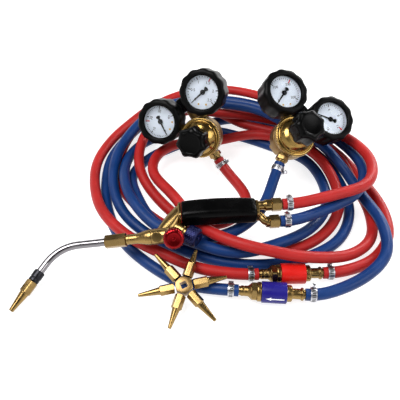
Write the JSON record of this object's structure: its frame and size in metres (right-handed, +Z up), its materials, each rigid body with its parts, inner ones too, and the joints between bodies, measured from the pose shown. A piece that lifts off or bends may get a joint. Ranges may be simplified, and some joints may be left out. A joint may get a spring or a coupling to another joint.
{
  "type": "oxy-acetylene welding hose and torch set",
  "caption": "Welding set laid out flat: twin-gauge regulators, coiled red and blue hoses, in-line flashback arrestors, bent-lance torch and a star of spare nozzles.",
  "frame": {"origin": "centre of the footprint of the regulators, torch and nozzle star, on the table they lie on", "axes": "+X from the torch tip towards the right-hand regulator, +Y away from the torch towards the regulators, +Z up"},
  "size_m": [0.3971, 0.3804, 0.1219],
  "materials": {
    "brass": "polished turned brass",
    "cast_brass": "forged brass, dull",
    "steel": "bright steel",
    "black_plastic": "moulded black plastic",
    "boot_rubber": "black rubber gauge boot",
    "gauge_case": "white dial in a steel case",
    "red_hose": "ribbed red rubber",
    "blue_hose": "ribbed blue rubber",
    "red_enamel": "red anodised",
    "blue_enamel": "blue anodised"
  },
  "bodies": {
    "set": {"acetylene_regulator_body": "cast_brass", "acetylene_bonnet": "brass", "acetylene_outlet_tail": "brass", "acetylene_left_gauge_case": "gauge_case", "acetylene_left_gauge_boot": "boot_rubber", "acetylene_right_gauge_case": "gauge_case", "acetylene_right_gauge_boot": "boot_rubber", "oxygen_regulator_body": "cast_brass", "oxygen_bonnet": "brass", "oxygen_outlet_tail": "brass", "oxygen_left_gauge_case": "gauge_case", "oxygen_left_gauge_boot": "boot_rubber", "oxygen_right_gauge_case": "gauge_case", "oxygen_right_gauge_boot": "boot_rubber", "torch_grip": "black_plastic", "torch_head": "brass", "torch_inlet_block": "brass", "torch_mixer": "brass", "torch_lance_tube": "steel", "torch_tip_collar": "steel", "torch_tip": "brass", "acetylene_arrestor_body": "brass", "acetylene_arrestor_sleeve": "red_enamel", "oxygen_arrestor_body": "brass", "oxygen_arrestor_sleeve": "blue_enamel", "acetylene_supply_hose": "red_hose", "acetylene_supply_hose_clip_a": "steel", "acetylene_supply_hose_clip_b": "steel", "acetylene_torch_hose": "red_hose", "acetylene_torch_hose_clip_a": "steel", "acetylene_torch_hose_clip_b": "steel", "oxygen_supply_hose": "blue_hose", "oxygen_supply_hose_clip_a": "steel", "oxygen_supply_hose_clip_b": "steel", "oxygen_torch_hose": "blue_hose", "oxygen_torch_hose_clip_a": "steel", "oxygen_torch_hose_clip_b": "steel"},
    "acetylene_button": {"acetylene_spring_button": "steel"},
    "acetylene_knob": {"acetylene_adjusting_knob": "black_plastic"},
    "acetylene_cylinder_nut": {"acetylene_inlet_nut": "black_plastic"},
    "acetylene_left_needle": {"acetylene_left_gauge_needle": "black_plastic"},
    "acetylene_right_needle": {"acetylene_right_gauge_needle": "black_plastic"},
    "oxygen_button": {"oxygen_spring_button": "steel"},
    "oxygen_knob": {"oxygen_adjusting_knob": "black_plastic"},
    "oxygen_cylinder_nut": {"oxygen_inlet_nut": "black_plastic"},
    "oxygen_left_needle": {"oxygen_left_gauge_needle": "black_plastic"},
    "oxygen_right_needle": {"oxygen_right_gauge_needle": "black_plastic"},
    "acetylene_valve": {"torch_acetylene_valve_knob": "red_enamel"},
    "oxygen_valve": {"torch_oxygen_valve_knob": "blue_enamel"},
    "lance_union_nut": {"torch_lance_nut": "brass"},
    "acetylene_hose_nut": {"torch_acetylene_nut": "brass"},
    "oxygen_hose_nut": {"torch_oxygen_nut": "brass"},
    "nozzle_star": {"nozzle_star_hub": "cast_brass", "spare_nozzle_1": "brass", "spare_nozzle_2": "brass", "spare_nozzle_3": "brass", "spare_nozzle_4": "brass", "spare_nozzle_5": "brass", "spare_nozzle_6": "brass"}
  },
  "joints": [
    {"name": "acetylene_screw_travel", "type": "slide", "parent": "set", "child": "acetylene_button", "axis": [0.269, 0.8278, -0.4924], "range_m": [0, 0.0075]},
    {"name": "acetylene_knob_turn", "type": "hinge", "parent": "acetylene_button", "child": "acetylene_knob", "pos_m": [-0.00363, 0.05067, 0.06774], "axis": [0.269, 0.8278, -0.4924], "range_deg": [0, 1800]},
    {"name": "acetylene_cylinder_nut_turn", "type": "hinge", "parent": "set", "child": "acetylene_cylinder_nut", "pos_m": [-0.01004, 0.12878, 0.06356], "axis": [-0.5429, 0.5526, 0.6324], "continuous": true},
    {"name": "acetylene_left_needle_swing", "type": "hinge", "parent": "set", "child": "acetylene_left_needle", "pos_m": [-0.04212, 0.09654, 0.05966], "axis": [0.269, 0.8278, -0.4924], "range_deg": [0, 270]},
    {"name": "acetylene_right_needle_swing", "type": "hinge", "parent": "set", "child": "acetylene_right_needle", "pos_m": [0.00719, 0.10257, 0.09673], "axis": [0.269, 0.8278, -0.4924], "range_deg": [0, 270]},
    {"name": "oxygen_screw_travel", "type": "slide", "parent": "set", "child": "oxygen_button", "axis": [-0.2604, 0.5111, -0.8192], "range_m": [0, 0.0075]},
    {"name": "oxygen_knob_turn", "type": "hinge", "parent": "oxygen_button", "child": "oxygen_knob", "pos_m": [0.11806, 0.04543, 0.09285], "axis": [-0.2604, 0.5111, -0.8192], "range_deg": [0, 1800]},
    {"name": "oxygen_cylinder_nut_turn", "type": "hinge", "parent": "set", "child": "oxygen_cylinder_nut", "pos_m": [0.11905, 0.11506, 0.05662], "axis": [0.4072, 0.8274, 0.3868], "continuous": true},
    {"name": "oxygen_left_needle_swing", "type": "hinge", "parent": "set", "child": "oxygen_left_needle", "pos_m": [0.09945, 0.10283, 0.096], "axis": [-0.2604, 0.5111, -0.8192], "range_deg": [0, 270]},
    {"name": "oxygen_right_needle_swing", "type": "hinge", "parent": "set", "child": "oxygen_right_needle", "pos_m": [0.15372, 0.0884, 0.06975], "axis": [-0.2604, 0.5111, -0.8192], "range_deg": [0, 270]},
    {"name": "acetylene_valve_turn", "type": "hinge", "parent": "set", "child": "acetylene_valve", "pos_m": [-0.02085, -0.07348, 0.0543], "axis": [0.0507, -0.7763, 0.6283], "range_deg": [0, 900]},
    {"name": "oxygen_valve_turn", "type": "hinge", "parent": "set", "child": "oxygen_valve", "pos_m": [-0.00246, -0.06055, 0.041], "axis": [0.8374, -0.5465, 0], "range_deg": [0, 900]},
    {"name": "lance_nut_turn", "type": "hinge", "parent": "set", "child": "lance_union_nut", "pos_m": [-0.07988, -0.06006, 0.0332], "axis": [-0.9824, 0.0143, -0.1861], "continuous": true},
    {"name": "acetylene_hose_nut_turn", "type": "hinge", "parent": "set", "child": "acetylene_hose_nut", "pos_m": [0.08289, -0.02331, 0.047], "axis": [0.9979, 0.0652, 0], "continuous": true},
    {"name": "oxygen_hose_nut_turn", "type": "hinge", "parent": "set", "child": "oxygen_hose_nut", "pos_m": [0.07999, -0.04013, 0.04], "axis": [0.9979, 0.0652, 0], "continuous": true},
    {"name": "nozzle_star_lift", "type": "slide", "parent": "set", "child": "nozzle_star", "axis": [0, -0.5, 0.866], "range_m": [0, 0.06]}
  ],
  "couplings": [
    {"joint": "acetylene_screw_travel", "follows": "acetylene_knob_turn", "m_per_rad": 0.00023873},
    {"joint": "oxygen_screw_travel", "follows": "oxygen_knob_turn", "m_per_rad": 0.00023873}
  ]
}
